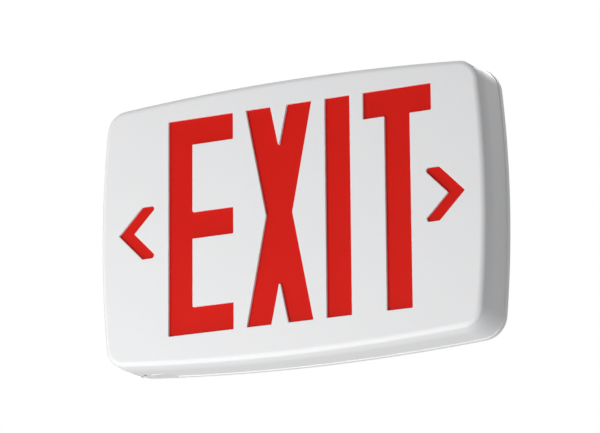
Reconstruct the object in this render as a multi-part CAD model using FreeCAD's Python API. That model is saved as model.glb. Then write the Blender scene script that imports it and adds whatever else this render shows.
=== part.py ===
# Emergency exit light: a wall-mounted sign whose stencilled front housing snaps over a back plate.
# The back plate carries two strips of light-emitting diodes, a driver board and a standby battery.
#
# Frame: millimetres. The origin is on the wall plane, at the centre of the wire entry.
# +X runs to the reader's right, +Z is up, and the front faces -Y. A "depth" is measured
# from the wall towards the reader, so a point at depth d has y = -d.
import FreeCAD, Part
import math
import os

from FreeCAD import Vector

# ---------------------------------------------------------------- driving dimensions
# Housing outline: four shallow bows joined by four tangent corner arcs.
width = 298.5
height = 198.0
body_depth = 43.0            # from the wall to the front face
side_bow_radius = 785.0
top_bow_radius = 1685.0
corner_radius = 17.0
draft_degrees = 1.0          # taper of the side walls towards the front
crown_depth = 13.0           # behind the face, the side walls curve inwards over this depth
crown_radius = 45.0
crown_steps = 4
edge_radius = 3.3            # outer rounding between the side walls and the front face
wall = 2.2                   # side walls of the housing
face_thickness = 2.0

# Word and arrows, cut through the front face. The arrows stand a margin inside the sides, and
# the word fills the space between them: 154 mm high letters, 51 mm wide.
word_top_margin = 19.7       # from the housing's top to the letters
word_bottom_margin = 24.3
stroke = 19.0
letter_gap = 10.1
arrow_gap = 8.6              # from the inner end of an arrow to the nearest stem
letter_corner = 0.6          # rounding of every stencil corner
cross_waist = 20.2           # width of the X at its middle
cross_notch = 30.0           # depth of the X's upper and lower notches
arrow_margin = 16.2          # from the housing's side to an arrow's tip
arrow_height = 37.6
arrow_arm = 12.4             # width of an arrow arm along X
arrow_z = 1.4
arrow_end_corner = 2.0       # rounding of the inner end of each arm

# Back plate.
plate_thickness = 4.0        # at its edge, where it shows behind the housing
floor_thickness = 2.6        # inside the locating rim
plate_inset = 2.5            # the plate's edge lies inside the housing's edge
seam_gap = 0.2               # between the plate and the housing's rim
rim_clearance = 0.5          # between the housing's wall and the locating rim inside it
rim_thickness = 2.0
rim_height = 8.0
wire_hole_radius = 11.1
wire_collar_wall = 2.4
wire_collar_height = 3.0
box_hole_spacing = 88.9
box_hole_radius = 2.4
keyhole_spacing = 200.0
keyhole_margin = 37.0        # from the housing's top to the keyhole's entry
keyhole_head_radius = 4.5
keyhole_slot_radius = 2.3
keyhole_slot_length = 8.0
rib_thickness = 1.6
rib_height = 3.0
rib_x = 62.0
rib_gap = 2.0                # from the upright ribs' ends to the light strips

# Console: a tongue of the plate that fills a notch in the housing's bottom wall, left of centre.
console_margin = 15.25       # from the housing's side to the tongue
console_length = 30.0
console_depth = 23.0         # from the wall to the tongue's front edge
console_recess = 0.8         # below the surface of the housing
console_thickness = 3.5
console_clearance = 0.3

# Red panel behind the stencil, on pegs of the housing.
panel_thickness = 1.5
panel_inset = 10.9
peg_radius = 1.5
peg_clearance = 0.15
peg_proud = 1.6
peg_side_margin = 16.35      # from the panel's side edges
peg_side_drop = 26.1         # side pegs, from the panel's top and bottom edges
peg_edge_margin = 4.1        # upper and lower pegs, from the panel's top and bottom edges
retainer_radius = 3.6
retainer_thickness = 0.6
retainer_grip = 0.02

# Screws: one size holds every board.
screw_radius = 1.35
screw_head_radius = 2.7
screw_head_height = 1.9
screw_length = 7.0
screw_clearance = 0.05
boss_radius = 3.2
recess_width = 0.8           # arms of the cross recess in each head
recess_length = 3.0
recess_depth = 1.0

# Strips of light-emitting diodes.
strip_length = 222.0
strip_width = 16.0
strip_margin = 59.0          # from the housing's top and bottom to a strip's middle
strip_standoff = 15.4
board_thickness = 1.6
diode_count = 12
diode_pitch = 19.0
diode_radius = 2.5
diode_flange_radius = 2.9
diode_flange = 1.0
diode_height = 8.6
strip_screw_x = 95.0
resistor_pitch = 57.0
resistor_length = 3.2
resistor_width = 1.6
resistor_height = 0.6
resistor_offset = 5.0

# Driver board.
driver_length = 92.0
driver_breadth = 34.0
driver_side_margin = 17.25   # from the housing's side to the board
driver_bottom_margin = 14.0
driver_standoff = 7.4
driver_screw_margin = 3.5    # from the board's edges to its screws
socket_offset = 60.0         # battery socket, from the board's left edge
driver_screw_lift = 10.0     # the lower left screw stands clear of the status light

# Battery: a stick of three cells in one shrink sleeve, in saddles of the back plate.
cell_radius = 7.25
cell_length = 50.0
cell_count = 3
cell_neck = 0.5              # depth of the waist between two cells
cell_waist_radius = 2.0
cell_corner = 1.0
battery_turn = 12.0          # from the axis of its plug to the battery's end
battery_top_margin = 31.0    # from the housing's top to the battery's axis
battery_floor = 3.4          # between the plate's floor and the cells
saddle_width = 9.0
saddle_wall = 1.8
saddle_clearance = 0.2
saddle_over = 3.0            # how far the saddle's lips pass the battery's axis
saddle_offset = 37.0         # from the battery's ends to each saddle's middle

# Test switch, push button and status light.
switch_size = 7.0
switch_height = 6.0
plunger_radius = 1.6
plunger_fit = 0.1
button_offset = 17.0         # from the driver board's left edge
button_length = 13.0
button_width = 7.0
button_corner = 2.0
button_fit = 0.25
button_proud = 0.5
button_travel = 2.0
flange_overhang = 1.5
flange_thickness = 1.2
flange_gap = 0.1
status_offset = 5.0          # from the driver board's left edge
status_radius = 1.5
status_height = 4.4
status_fit = 0.05
holder_size = 5.2
lens_radius = 1.3
lens_gap = 0.25

# Leads.
lead_radius = 0.8
lead_spacing = 2.5
lead_sway = 3.0              # the battery lead runs this far left of its plug between the strips
strip_lead_rise = 4.0        # how far the short lead stands out from the lower strip
strip_lead_radius = 0.6
strip_lead_x = -60.0
strip_lead_bow = 8.0         # how far the lead between the strips bows forwards
strip_lead_landing = 3.0     # from a strip's edge to the pads of its leads

# ---------------------------------------------------------------- derived places
rim_depth = plate_thickness + seam_gap
face_back = body_depth - face_thickness
panel_back = face_back - panel_thickness
crown_back = body_depth - crown_depth
strip_back = floor_thickness + strip_standoff
strip_front = strip_back + board_thickness
driver_back = floor_thickness + driver_standoff
driver_front = driver_back + board_thickness
battery_depth = floor_thickness + battery_floor + cell_radius
battery_length = cell_length * cell_count
battery_z = height / 2 - battery_top_margin
switch_depth = driver_front + switch_size / 2

arrow_reach = width / 2 - arrow_margin
arrow_inner = arrow_reach - arrow_height / 2 - arrow_arm
letter_top = height / 2 - word_top_margin
letter_bottom = word_bottom_margin - height / 2
word_z = (letter_top + letter_bottom) / 2
word_left = arrow_gap - arrow_inner
# Two whole letters, the I, half of the T's width and half of its stem lie between the gaps.
letter_width = (2 * (arrow_inner - arrow_gap) - 1.5 * stroke - 3 * letter_gap) / 2.5

strip_z = height / 2 - strip_margin
keyhole_z = height / 2 - keyhole_margin
driver_left = driver_side_margin - width / 2
driver_right = driver_left + driver_length
driver_bottom = driver_bottom_margin - height / 2
driver_top = driver_bottom + driver_breadth
battery_left = driver_left + socket_offset + battery_turn
console_left = console_margin - width / 2
console_right = console_left + console_length
button_x = driver_left + button_offset
status_x = driver_left + status_offset
peg_x = width / 2 - panel_inset - peg_side_margin
peg_z = height / 2 - panel_inset - peg_side_drop
peg_top_z = height / 2 - panel_inset - peg_edge_margin

FORWARD = Vector(0, -1, 0)
UP = Vector(0, 0, 1)
RIGHT = Vector(1, 0, 0)


# ---------------------------------------------------------------- helpers
def at(x, depth, z):
    """A point by its place across, its depth from the wall and its height."""
    return Vector(x, -depth, z)


def block(left, right, back, front, bottom, top):
    """A box between two places across, two depths and two heights."""
    return Part.makeBox(right - left, front - back, top - bottom, at(left, front, bottom))


def centred_block(x, z, length, breadth, back, front):
    """A box standing on a board, centred at (x, z)."""
    return block(x - length / 2, x + length / 2, back, front, z - breadth / 2, z + breadth / 2)


def rod(x, z, back, front, radius):
    """A cylinder pointing at the reader."""
    return Part.makeCylinder(radius, front - back, at(x, back, z), FORWARD)


def upright_rod(x, depth, bottom, top, radius):
    """A cylinder pointing up."""
    return Part.makeCylinder(radius, top - bottom, at(x, depth, bottom), UP)


def fused(shapes):
    """One solid from several that overlap."""
    return shapes[0].multiFuse(shapes[1:]).removeSplitter()


def rounded_loop(points, radii, depth):
    """A closed wire through (x, z) points, with a tangent arc at each corner."""
    corners = [at(x, depth, z) for x, z in points]
    arcs = []
    for index, corner in enumerate(corners):
        before = (corners[index - 1] - corner).normalize()
        after = (corners[(index + 1) % len(corners)] - corner).normalize()
        half_angle = before.getAngle(after) / 2
        radius = radii[index]
        reach = radius / math.tan(half_angle)
        middle = (before + after).normalize()
        centre = corner + middle * (radius / math.sin(half_angle))
        arcs.append((corner + before * reach, centre - middle * radius, corner + after * reach))
    edges = []
    for index, (start, middle, end) in enumerate(arcs):
        following = arcs[(index + 1) % len(arcs)][0]
        edges.append(Part.Arc(start, middle, end).toShape())
        edges.append(Part.LineSegment(end, following).toShape())
    return Part.Wire(edges)


def stencil(points, radii, back, front):
    """A prism of a rounded outline, between two depths."""
    return Part.Face(rounded_loop(points, radii, back)).extrude(FORWARD * (front - back))


def corner_centre():
    """Centre of the upper right corner arc, which touches the side bow and the top bow."""
    side_x = width / 2 - side_bow_radius
    top_z = height / 2 - top_bow_radius
    side_reach = side_bow_radius - corner_radius
    top_reach = top_bow_radius - corner_radius
    span = math.hypot(side_x, top_z)
    along = (side_reach ** 2 - top_reach ** 2 + span ** 2) / (2 * span)
    across = math.sqrt(side_reach ** 2 - along ** 2)
    x = side_x + (-side_x * along - top_z * across) / span
    z = (top_z * along - side_x * across) / span
    return x, z


def bowed_loop(inset, depth):
    """The housing's outline, moved inwards by an inset, at a depth from the wall."""
    corner_x, corner_z = corner_centre()
    side_x = width / 2 - side_bow_radius
    top_z = height / 2 - top_bow_radius
    radius = corner_radius - inset
    side_angle = math.atan2(corner_z, corner_x - side_x)
    top_angle = math.atan2(corner_z - top_z, corner_x)
    middle_angle = (side_angle + top_angle) / 2

    def on_corner(angle):
        return corner_x + radius * math.cos(angle), corner_z + radius * math.sin(angle)

    side_end = on_corner(side_angle)
    corner_middle = on_corner(middle_angle)
    top_end = on_corner(top_angle)
    edges = []
    for across, up in ((1, 1), (-1, 1), (-1, -1), (1, -1)):
        ends = [at(across * x, depth, up * z) for x, z in (side_end, corner_middle, top_end)]
        if across * up < 0:
            ends.reverse()
        edges.append(Part.Arc(*ends).toShape())
        if across * up > 0:
            middle = at(0, depth, up * (height / 2 - inset))
            following = at(-across * top_end[0], depth, up * top_end[1])
        else:
            middle = at(across * (width / 2 - inset), depth, 0)
            following = at(across * side_end[0], depth, -up * side_end[1])
        edges.append(Part.Arc(ends[2], middle, following).toShape())
    return Part.Wire(edges)


def bowed_slab(inset, back, front):
    """A straight-sided slab of the housing's outline."""
    return Part.Face(bowed_loop(inset, back)).extrude(FORWARD * (front - back))


def wall_lean(depth):
    """How far the taper and the crown bring the side walls inwards at a depth."""
    taper = math.tan(math.radians(draft_degrees)) * (depth - rim_depth)
    into_crown = max(0.0, depth - crown_back)
    return taper + crown_radius - math.sqrt(crown_radius ** 2 - into_crown ** 2)


def leaning_body(inset, back, front, edge):
    """The housing's outline drawn forwards with its taper and crown, with a rounded front edge."""
    lower = [bowed_loop(inset + wall_lean(depth), depth) for depth in (back, crown_back)]
    crown = [crown_back + (front - crown_back) * step / crown_steps for step in range(crown_steps + 1)]
    upper = [bowed_loop(inset + wall_lean(depth), depth) for depth in crown]
    body = fused([Part.makeLoft(lower, True, True), Part.makeLoft(upper, True, False)])
    rim = [e for e in body.Edges if all(abs(v.Y + front) < 1e-6 for v in e.Vertexes)]
    return body.makeFillet(edge, rim)


def bottom_z(x, inset):
    """Height of the bottom wall's outline at a place across, moved inwards by an inset."""
    centre = top_bow_radius - height / 2
    return centre - math.sqrt((top_bow_radius - inset) ** 2 - x ** 2)


def lead(points, radius):
    """A round wire along straight runs joined by tangent arcs as large as the runs allow."""
    edges = []
    start = points[0]
    for before, corner, after in zip(points, points[1:], points[2:]):
        back = (before - corner)
        ahead = (after - corner)
        reach = 0.45 * min(back.Length, ahead.Length)
        half_angle = back.getAngle(ahead) / 2
        back = back.normalize()
        ahead = ahead.normalize()
        middle = (back + ahead).normalize()
        bend = reach * math.tan(half_angle)
        crown = corner + middle * (bend / math.sin(half_angle) - bend)
        edges.append(Part.LineSegment(start, corner + back * reach).toShape())
        edges.append(Part.Arc(corner + back * reach, crown, corner + ahead * reach).toShape())
        start = corner + ahead * reach
    edges.append(Part.LineSegment(start, points[-1]).toShape())
    path = Part.Wire(edges)
    section = Part.Wire([Part.makeCircle(radius, points[0], points[1] - points[0])])
    return path.makePipeShell([section], True, False)


# ---------------------------------------------------------------- stencil
def letter_shapes(back, front):
    """The four letters of the word as prisms, left to right."""
    top = letter_top
    bottom = letter_bottom
    letters = []

    # E: a stem and three bars.
    left = word_left
    right = left + letter_width
    inner = left + stroke
    middle_top = word_z + stroke / 2
    middle_bottom = word_z - stroke / 2
    letters.append([(left, bottom), (right, bottom), (right, bottom + stroke), (inner, bottom + stroke),
                    (inner, middle_bottom), (right, middle_bottom), (right, middle_top),
                    (inner, middle_top), (inner, top - stroke), (right, top - stroke),
                    (right, top), (left, top)])

    # X: two crossed strokes with a straight waist.
    middle = right + letter_gap + letter_width / 2
    outer = letter_width / 2
    inner = letter_width / 2 - stroke
    waist = cross_waist / 2
    letters.append([(middle - outer, bottom), (middle - inner, bottom), (middle, bottom + cross_notch),
                    (middle + inner, bottom), (middle + outer, bottom), (middle + waist, word_z),
                    (middle + outer, top), (middle + inner, top), (middle, top - cross_notch),
                    (middle - inner, top), (middle - outer, top), (middle - waist, word_z)])

    # I: one stem.
    left = middle + outer + letter_gap
    right = left + stroke
    letters.append([(left, bottom), (right, bottom), (right, top), (left, top)])

    # T: a bar on a stem.
    left = right + letter_gap
    right = left + letter_width
    stem = (left + right) / 2
    letters.append([(stem - stroke / 2, bottom), (stem + stroke / 2, bottom),
                    (stem + stroke / 2, top - stroke), (right, top - stroke), (right, top),
                    (left, top), (left, top - stroke), (stem - stroke / 2, top - stroke)])
    return [stencil(points, [letter_corner] * len(points), back, front) for points in letters]


def arrow_shapes(back, front):
    """The two arrows as prisms, pointing left and right."""
    half = arrow_height / 2
    arrows = []
    for side in (-1, 1):
        tip = side * arrow_reach
        notch = side * (arrow_reach - arrow_arm)
        outer_end = side * (arrow_reach - half)
        inner_end = side * arrow_inner
        points = [(tip, arrow_z), (outer_end, arrow_z + half), (inner_end, arrow_z + half),
                  (notch, arrow_z), (inner_end, arrow_z - half), (outer_end, arrow_z - half)]
        radii = [letter_corner, letter_corner, arrow_end_corner,
                 letter_corner, arrow_end_corner, letter_corner]
        arrows.append(stencil(points, radii, back, front))
    return arrows


# ---------------------------------------------------------------- front housing
def peg_places():
    """Pegs that hold the red panel: four beside the arrows, one above and one below the word."""
    sides = [(side * peg_x, level * peg_z) for side in (-1, 1) for level in (-1, 1)]
    return sides + [(0, peg_top_z), (0, -peg_top_z)]


def front_housing():
    overlap = 1.0
    shell = leaning_body(0, rim_depth, body_depth, edge_radius)
    hollow = leaning_body(wall, rim_depth - overlap, face_back, edge_radius - wall)
    shell = shell.cut(hollow)
    pegs = [rod(x, z, panel_back - peg_proud, face_back + face_thickness / 2, peg_radius)
            for x, z in peg_places()]
    shell = fused([shell] + pegs)
    cuts = letter_shapes(face_back - overlap, body_depth + overlap)
    cuts += arrow_shapes(face_back - overlap, body_depth + overlap)
    cuts.append(block(console_left - console_clearance, console_right + console_clearance,
                      rim_depth - overlap, console_depth + console_clearance,
                      -height, bottom_z(console_left, corner_radius)))
    return shell.cut(Part.makeCompound(cuts))


def red_panel():
    sheet = bowed_slab(panel_inset, panel_back, face_back)
    holes = [rod(x, z, panel_back, face_back, peg_radius + peg_clearance) for x, z in peg_places()]
    return sheet.cut(Part.makeCompound(holes))


def panel_retainers():
    """Push-on washers that grip the pegs behind the panel."""
    washers = []
    for x, z in peg_places():
        disc = rod(x, z, panel_back - retainer_thickness, panel_back, retainer_radius)
        hole = rod(x, z, panel_back - retainer_thickness, panel_back, peg_radius + retainer_grip)
        washers.append(disc.cut(hole))
    return Part.makeCompound(washers)


# ---------------------------------------------------------------- back plate
def strip_screw_places():
    return [(x, side * strip_z) for side in (1, -1) for x in (-strip_screw_x, 0, strip_screw_x)]


def driver_screw_places():
    left = driver_left + driver_screw_margin
    right = driver_right - driver_screw_margin
    upper = driver_top - driver_screw_margin
    return [(left, upper), (right, upper), (left, driver_bottom + driver_screw_lift),
            (right, driver_bottom + driver_screw_margin)]


def saddle_places():
    """Middles of the two saddles under the battery."""
    return [battery_left + saddle_offset, battery_left + battery_length - saddle_offset]


def bored_boss(x, z, top):
    """A screw boss from the plate to a board, with its blind hole."""
    boss = rod(x, z, floor_thickness / 2, top, boss_radius)
    hole = rod(x, z, floor_thickness, top, screw_radius + screw_clearance)
    return boss, hole


def keyhole(x):
    """A round entry with a narrower slot above it, for a screw head."""
    entry = rod(x, keyhole_z, -1, plate_thickness + 1, keyhole_head_radius)
    slot_top = keyhole_z + keyhole_slot_length
    slot = block(x - keyhole_slot_radius, x + keyhole_slot_radius, -1, plate_thickness + 1,
                 keyhole_z, slot_top)
    end = rod(x, slot_top, -1, plate_thickness + 1, keyhole_slot_radius)
    return fused([entry, slot, end])


def back_plate():
    # The taper brings the housing's wall inwards, and the rim keeps its clearance at the top.
    rim_top = plate_thickness + rim_height
    rim_inset = wall + rim_clearance + rim_height * math.tan(math.radians(draft_degrees))
    plate = bowed_slab(plate_inset, 0, plate_thickness)
    plate = plate.cut(bowed_slab(rim_inset + rim_thickness, floor_thickness, plate_thickness + 1))
    rim = bowed_slab(rim_inset, floor_thickness / 2, rim_top)
    rim = rim.cut(bowed_slab(rim_inset + rim_thickness, 0, rim_top + 1))
    gap = console_clearance
    console_space = block(console_left - gap, console_right + gap, plate_thickness, rim_top + 1,
                          -height, bottom_z(console_left, corner_radius))
    rim = rim.cut(console_space)

    tongue = bowed_slab(console_recess, floor_thickness / 2, console_depth)
    tongue = tongue.cut(bowed_slab(console_recess + console_thickness, 0, console_depth + 1))
    tongue = tongue.common(block(console_left, console_right, floor_thickness / 2, console_depth,
                                 -height, bottom_z(console_left, corner_radius)))

    solids = [plate, rim, tongue]
    holes = [rod(0, 0, -1, plate_thickness + wire_collar_height + 1, wire_hole_radius)]
    solids.append(rod(0, 0, floor_thickness / 2, plate_thickness + wire_collar_height,
                      wire_hole_radius + wire_collar_wall))
    for x, z in strip_screw_places():
        boss, hole = bored_boss(x, z, strip_back)
        solids.append(boss)
        holes.append(hole)
    for x, z in driver_screw_places():
        boss, hole = bored_boss(x, z, driver_back)
        solids.append(boss)
        holes.append(hole)

    saddle_half = cell_radius + saddle_clearance + saddle_wall
    for x in saddle_places():
        solids.append(block(x - saddle_width / 2, x + saddle_width / 2, floor_thickness / 2,
                            battery_depth + saddle_over, battery_z - saddle_half,
                            battery_z + saddle_half))
    holes.append(Part.makeCylinder(cell_radius + saddle_clearance, battery_length,
                                   at(battery_left, battery_depth, battery_z), RIGHT))

    rib_top = plate_thickness + rib_height
    rib_end = strip_z - strip_width / 2 - rib_gap
    for x in (-rib_x, rib_x):
        solids.append(block(x - rib_thickness / 2, x + rib_thickness / 2, floor_thickness / 2, rib_top,
                            -rib_end, rib_end))
    for z in (-strip_z / 2, strip_z / 2):
        solids.append(block(-rib_x, rib_x, floor_thickness / 2, rib_top,
                            z - rib_thickness / 2, z + rib_thickness / 2))
    for side in (-1, 1):
        holes.append(rod(side * box_hole_spacing / 2, 0, -1, plate_thickness + 1, box_hole_radius))
        holes.append(keyhole(side * keyhole_spacing / 2))
    holes.append(button_opening())
    holes.append(upright_rod(status_x, switch_depth, bottom_z(status_x, 0),
                             bottom_z(status_x, corner_radius), lens_radius + status_fit))
    return fused(solids).cut(Part.makeCompound(holes))


# ---------------------------------------------------------------- test button and status light
def rounded_bar(length, breadth, corner, bottom, top):
    """An upright bar of rounded rectangular section at the test button's place."""
    bar = block(button_x - length / 2, button_x + length / 2, switch_depth - breadth / 2,
                switch_depth + breadth / 2, bottom, top)
    upright = [e for e in bar.Edges if abs(e.tangentAt(e.FirstParameter).z) > 0.5]
    return bar.makeFillet(corner, upright)


def button_opening():
    return rounded_bar(button_length + 2 * button_fit, button_width + 2 * button_fit,
                       button_corner + button_fit, bottom_z(button_x, 0) - 1,
                       bottom_z(button_x, corner_radius))


def flange_bottom():
    """The flange rests just above the highest point of the console's curved inner side."""
    outer_end = abs(button_x) + button_length / 2 + flange_overhang
    return bottom_z(outer_end, console_recess + console_thickness) + flange_gap


def test_button():
    face = bottom_z(button_x, console_recess) - button_proud
    seat = flange_bottom()
    cap = rounded_bar(button_length, button_width, button_corner, face, seat + flange_thickness / 2)
    low = [e for e in cap.Edges if all(abs(v.Z - face) < 1e-6 for v in e.Vertexes)]
    cap = cap.makeFillet(0.4, low)
    flange = rounded_bar(button_length + 2 * flange_overhang, button_width + 2 * flange_overhang,
                         button_corner, seat, seat + flange_thickness)
    return fused([cap, flange])


def switch_plunger():
    seat = flange_bottom() + flange_thickness
    inside = driver_bottom + switch_height / 2
    return upright_rod(button_x, switch_depth, seat, inside, plunger_radius)


def switch_body():
    body = block(button_x - switch_size / 2, button_x + switch_size / 2, driver_front,
                 driver_front + switch_size, driver_bottom, driver_bottom + switch_height)
    well_top = driver_bottom + switch_height / 2 + button_travel + plunger_fit
    well = upright_rod(button_x, switch_depth, driver_bottom, well_top, plunger_radius + plunger_fit)
    return body.cut(well)


def status_diode():
    barrel_bottom = driver_bottom - status_height + status_radius
    barrel = upright_rod(status_x, switch_depth, barrel_bottom, driver_bottom, status_radius)
    dome = Part.makeSphere(status_radius, at(status_x, switch_depth, barrel_bottom))
    return fused([barrel, dome])


def status_holder():
    """The right-angle block that carries the status diode on the driver board."""
    return block(status_x - holder_size / 2, status_x + holder_size / 2, driver_front,
                 switch_depth + holder_size / 2, driver_bottom, driver_bottom + holder_size)


def status_lens():
    top = driver_bottom - status_height - lens_gap
    lens = upright_rod(status_x, switch_depth, bottom_z(status_x, console_recess), top, lens_radius)
    return lens


# ---------------------------------------------------------------- light strips
def strip_board(z):
    board = block(-strip_length / 2, strip_length / 2, strip_back, strip_front,
                  z - strip_width / 2, z + strip_width / 2)
    holes = [rod(x, z, strip_back, strip_front, screw_radius + screw_clearance)
             for x in (-strip_screw_x, 0, strip_screw_x)]
    return board.cut(Part.makeCompound(holes))


def strip_diodes(z):
    """A row of domed diodes, each with the small flange at its base."""
    diodes = []
    for index in range(diode_count):
        x = (index - (diode_count - 1) / 2) * diode_pitch
        barrel_front = strip_front + diode_height - diode_radius
        barrel = rod(x, z, strip_front, barrel_front, diode_radius)
        flange = rod(x, z, strip_front, strip_front + diode_flange, diode_flange_radius)
        dome = Part.makeSphere(diode_radius, at(x, barrel_front, z))
        diodes.append(fused([barrel, flange, dome]))
    return Part.makeCompound(diodes)


def strip_resistors():
    chips = []
    for z in (strip_z, -strip_z):
        for index in range(4):
            x = (index - 1.5) * resistor_pitch
            chips.append(centred_block(x, z + resistor_offset, resistor_length, resistor_width,
                                       strip_front, strip_front + resistor_height))
    return Part.makeCompound(chips)


def screw(x, z, seat):
    """A pan-head screw with a cross recess, its head on a board at a depth."""
    shank = rod(x, z, seat - screw_length, seat, screw_radius)
    head = rod(x, z, seat, seat + screw_head_height, screw_head_radius)
    crown = [e for e in head.Edges if all(abs(v.Y + seat + screw_head_height) < 1e-6 for v in e.Vertexes)]
    head = head.makeFillet(0.7, crown)
    top = seat + screw_head_height
    arms = [centred_block(x, z, recess_length, recess_width, top - recess_depth, top + 1),
            centred_block(x, z, recess_width, recess_length, top - recess_depth, top + 1)]
    return fused([shank, head]).cut(Part.makeCompound(arms))


# ---------------------------------------------------------------- driver board
# Places on the board are measured from its lower left corner.
transformer_place = (69.0, 14.0)
core_length = 30.0
core_breadth = 25.0
core_stack = 11.0
core_leg = 8.0
core_window = 5.4
core_window_length = 15.0
core_lift = 5.2
coil_fit = 0.2
coil_corner = 2.0

large_can = {"place": (46.0, 17.0), "radius": 5.0, "height": 12.5}
small_can = {"place": (46.0, 5.5), "radius": 4.0, "height": 11.0}
can_corner = 0.6
can_groove = 0.6             # radius of the rolled groove
can_groove_lift = 2.4
can_groove_offset = 0.3      # the groove's centre, outside the can's side

film_place = (32.0, 28.0)
film_size = (13.0, 6.0, 11.0)
film_corner = 0.8
relay_place = (25.0, 15.0)
relay_size = (15.0, 12.0, 11.5)
relay_corner = 0.6

diode_row = {"first": (8.0, 15.0), "pitch": 3.2, "count": 3, "radius": 1.3, "length": 5.0, "lift": 1.6}
resistor_row = {"first": (35.4, 16.0), "pitch": 3.2, "count": 2, "radius": 1.1, "length": 6.4, "lift": 1.4}
axial_leg_radius = 0.35
axial_leg_reach = 1.8        # from a round component's body to its feet

transistor_place = (34.0, 4.5)
transistor_length = 10.0
transistor_breadth = 4.4
transistor_body = 9.0
transistor_lift = 3.0
tab_thickness = 1.3
tab_height = 6.0
tab_overlap = 1.0
tab_hole_radius = 1.8
leg_pitch = 2.5
leg_size = (0.8, 0.6)

supply_place = (15.0, 28.0)
supply_pitch = 5.0
supply_ways = 3
supply_breadth = 9.0
supply_height = 10.0
supply_well_radius = 1.9
supply_well_depth = 4.5
supply_screw_fit = 0.05
supply_screw_height = 3.3
supply_screw_offset = 1.0    # the wells stand below the block's middle
supply_slot = 0.6
supply_slot_depth = 0.7
supply_entry_width = 3.2
supply_entry_floor = 1.6
supply_entry_height = 3.2

strip_socket_place = (46.0, 29.5)
strip_socket_size = (7.5, 5.0, 6.0)

# The battery's socket stands at the board's upper edge and takes its plug from above.
socket_width = 7.0
socket_length = 6.0
socket_height = 6.0
plug_length = 9.0
plug_inserted = 3.5
plug_wall = 0.9
plug_fit = 0.1
lead_start = 8.0             # straight stretch out of the plug
lead_floor_gap = 6.0         # from the plate's floor to the lead between the strips


def on_board(place):
    """A place measured from the driver board's lower left corner."""
    return driver_left + place[0], driver_bottom + place[1]


def driver_board():
    board = block(driver_left, driver_right, driver_back, driver_front, driver_bottom, driver_top)
    holes = [rod(x, z, driver_back, driver_front, screw_radius + screw_clearance)
             for x, z in driver_screw_places()]
    return board.cut(Part.makeCompound(holes))


def board_case(place, size, corner):
    """A moulded case of length, breadth and height, rounded all over."""
    x, z = on_board(place)
    length, breadth, tall = size
    case = centred_block(x, z, length, breadth, driver_front, driver_front + tall)
    return case.makeFillet(corner, case.Edges)


def transformer_core():
    """Stacked laminations: a frame with a middle leg between two windows."""
    x, z = on_board(transformer_place)
    back = driver_front + core_lift
    core = centred_block(x, z, core_length, core_breadth, back, back + core_stack)
    offset = (core_leg + core_window) / 2
    windows = [centred_block(x + side * offset, z, core_window, core_window_length,
                             back - 1, back + core_stack + 1) for side in (-1, 1)]
    return core.cut(Part.makeCompound(windows))


def transformer_coil():
    """The bobbin round the middle leg, standing on the board."""
    x, z = on_board(transformer_place)
    back = driver_front + core_lift
    length = core_leg + 2 * (core_window - coil_fit)
    coil = centred_block(x, z, length, core_window_length - 2 * coil_fit,
                         driver_front, back + core_stack + core_lift - coil_fit)
    long_edges = [e for e in coil.Edges if abs(e.tangentAt(e.FirstParameter).z) > 0.5]
    coil = coil.makeFillet(coil_corner, long_edges)
    leg = centred_block(x, z, core_leg + 2 * coil_fit, core_breadth,
                        back - coil_fit, back + core_stack + coil_fit)
    return coil.cut(leg)


def capacitors():
    """Two cans with a rolled groove near the foot and a rounded rim."""
    cans = []
    for sizes in (large_can, small_can):
        x, z = on_board(sizes["place"])
        can = rod(x, z, driver_front, driver_front + sizes["height"], sizes["radius"])
        ends = [e for e in can.Edges if len(e.Vertexes) == 1]
        can = can.makeFillet(can_corner, ends)
        groove = Part.makeTorus(sizes["radius"] + can_groove_offset, can_groove,
                                at(x, driver_front + can_groove_lift, z), FORWARD)
        cans.append(can.cut(groove))
    return Part.makeCompound(cans)


def axial_row(sizes):
    """Round bodies along Z, side by side, each on two bent legs."""
    depth = driver_front + sizes["lift"]
    reach = sizes["length"] / 2 + axial_leg_reach
    row = []
    for index in range(sizes["count"]):
        x, z = on_board(sizes["first"])
        x += index * sizes["pitch"]
        body = upright_rod(x, depth, z - sizes["length"] / 2, z + sizes["length"] / 2, sizes["radius"])
        legs = lead([at(x, driver_front, z - reach), at(x, depth, z - reach),
                     at(x, depth, z + reach), at(x, driver_front, z + reach)], axial_leg_radius)
        row.append(fused([body, legs]))
    return Part.makeCompound(row)


def power_transistor():
    """A moulded body with a metal tab, standing on three legs."""
    x, z = on_board(transistor_place)
    foot = driver_front + transistor_lift
    top = foot + transistor_body
    body = centred_block(x, z, transistor_length, transistor_breadth, foot, top)
    tab_z = z + (transistor_breadth - tab_thickness) / 2
    tab = centred_block(x, tab_z, transistor_length, tab_thickness, top - tab_overlap, top + tab_height)
    hole = Part.makeCylinder(tab_hole_radius, 2 * transistor_breadth,
                             at(x, top + tab_height / 2, z - transistor_breadth), UP)
    legs = [centred_block(x + offset, z, leg_size[0], leg_size[1], driver_front, foot + tab_overlap)
            for offset in (-leg_pitch, 0, leg_pitch)]
    return fused([body, tab] + legs).cut(hole)


def supply_wells():
    """Centres of the screw wells in the supply terminal."""
    x, z = on_board(supply_place)
    offsets = [(index - (supply_ways - 1) / 2) * supply_pitch for index in range(supply_ways)]
    return [(x + offset, z - supply_screw_offset) for offset in offsets]


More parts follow.
